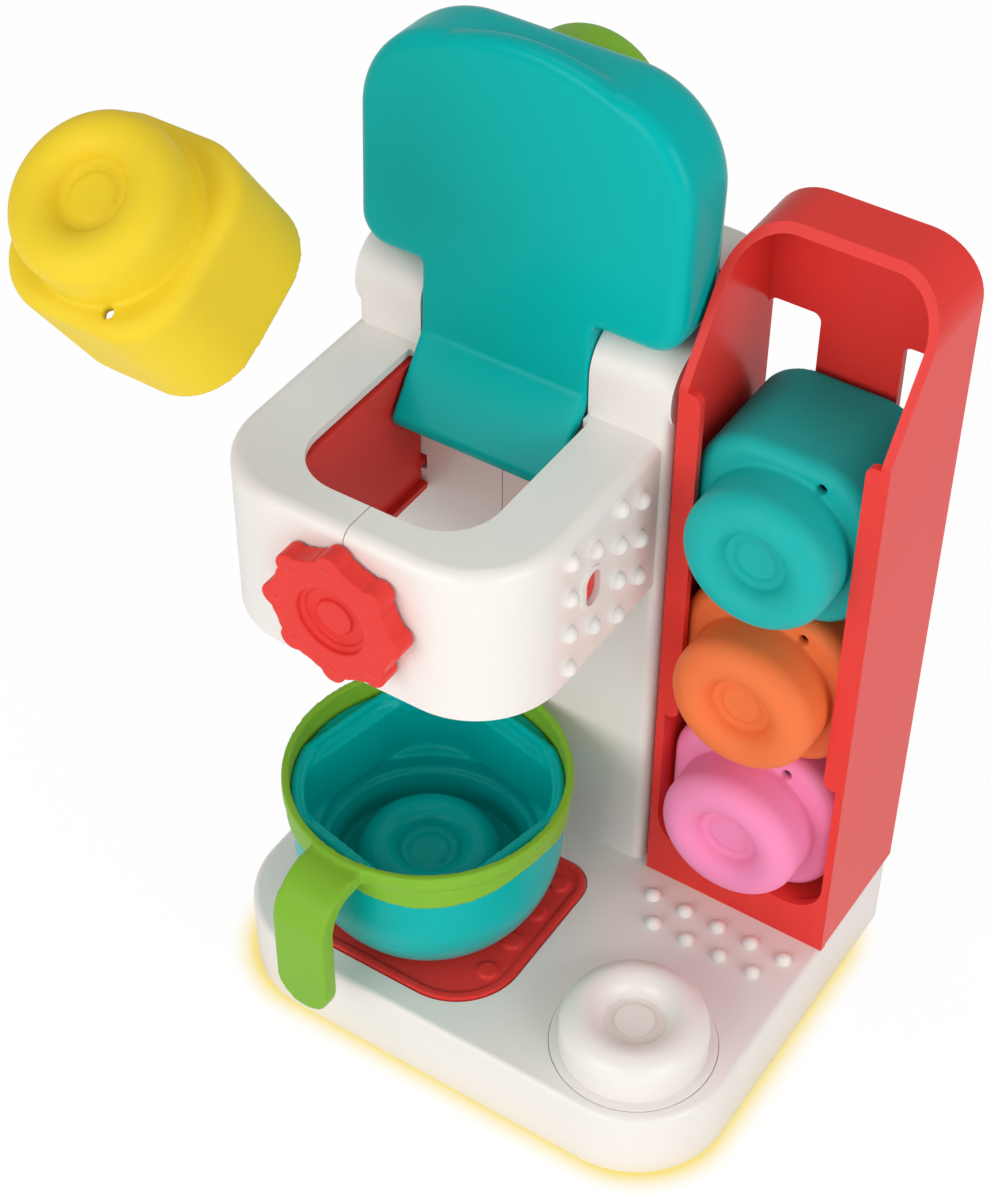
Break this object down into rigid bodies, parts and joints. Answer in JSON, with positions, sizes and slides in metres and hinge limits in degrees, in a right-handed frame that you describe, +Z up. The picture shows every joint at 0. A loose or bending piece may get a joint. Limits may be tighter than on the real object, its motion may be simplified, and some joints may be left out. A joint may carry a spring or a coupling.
{
  "type": "toy coffee maker",
  "caption": "Toy coffee maker with a tilting lid, a star knob that works two jaws in the head, a handled cup and a dispenser of soft stacking blocks.",
  "frame": {"origin": "under the middle of the base, on the surface the toy stands on", "axes": "+X to the toy's right, seen from the front; +Y to the back; +Z up"},
  "size_m": [0.1582, 0.1425, 0.2614],
  "materials": {
    "white_shell": "gloss",
    "red_plastic": "satin gloss",
    "teal_plastic": "gloss",
    "green_plastic": "satin gloss",
    "yellow_soft": "matte",
    "teal_soft": "matte",
    "orange_soft": "matte",
    "pink_soft": "matte",
    "steel": "zinc plated",
    "rubber": "matte"
  },
  "bodies": {
    "stand": {"base_deck": "white_shell", "base_plate": "white_shell", "base_screws": "steel", "rubber_feet": "rubber", "drip_tray": "red_plastic", "stacking_stud": "white_shell", "housing_left": "white_shell", "housing_right": "white_shell", "housing_screws": "steel", "column_screws": "steel", "guide_frame": "white_shell", "guide_screws": "steel", "hinge_pin": "steel", "magazine": "red_plastic", "magazine_screws": "steel"},
    "lid": {"lid_body": "teal_plastic", "lid_cover": "teal_plastic", "lid_stud": "green_plastic", "lid_screws": "steel"},
    "knob_turner": {"knob": "red_plastic", "knob_shaft": "red_plastic", "knob_screw": "steel"},
    "jaw_l": {"jaw_left": "red_plastic"},
    "jaw_r": {"jaw_right": "red_plastic"},
    "cup": {"cup_bowl": "teal_plastic", "cup_band": "green_plastic"},
    "yellow_block": {"block_yellow": "yellow_soft"},
    "pink_block": {"block_pink": "pink_soft"},
    "orange_block": {"block_orange": "orange_soft"},
    "teal_block": {"block_teal": "teal_soft"}
  },
  "joints": [
    {"name": "lid_hinge", "type": "hinge", "parent": "stand", "child": "lid", "pos_m": [-0.029, 0.0279, 0.1745], "axis": [1, 0, 0], "range_deg": [0, 92.5]},
    {"name": "knob_turn", "type": "hinge", "parent": "stand", "child": "knob_turner", "pos_m": [-0.029, -0.0461, 0.1416], "axis": [0, -1, 0], "range_deg": [0, 45]},
    {"name": "jaw_left_slide", "type": "slide", "parent": "stand", "child": "jaw_l", "axis": [-1, 0, 0], "range_m": [0, 0.0029]},
    {"name": "jaw_right_slide", "type": "slide", "parent": "stand", "child": "jaw_r", "axis": [1, 0, 0], "range_m": [0, 0.00295]},
    {"name": "cup_lift", "type": "slide", "parent": "stand", "child": "cup", "axis": [0, 0, 1], "range_m": [0, 0.045]},
    {"name": "yellow_block_lift", "type": "slide", "parent": "stand", "child": "yellow_block", "axis": [0, 0, 1], "range_m": [0, 0.06]},
    {"name": "pink_block_pull", "type": "slide", "parent": "stand", "child": "pink_block", "axis": [0, -1, 0], "range_m": [0, 0.06]},
    {"name": "orange_block_lift", "type": "slide", "parent": "stand", "child": "orange_block", "axis": [0, 0, 1], "range_m": [0, 0.012]},
    {"name": "teal_block_lift", "type": "slide", "parent": "orange_block", "child": "teal_block", "axis": [0, 0, 1], "range_m": [0, 0.026]}
  ],
  "couplings": [
    {"joint": "knob_turn", "follows": "jaw_left_slide", "rad_per_m": 270.8},
    {"joint": "jaw_right_slide", "follows": "jaw_left_slide", "ratio": 1}
  ]
}
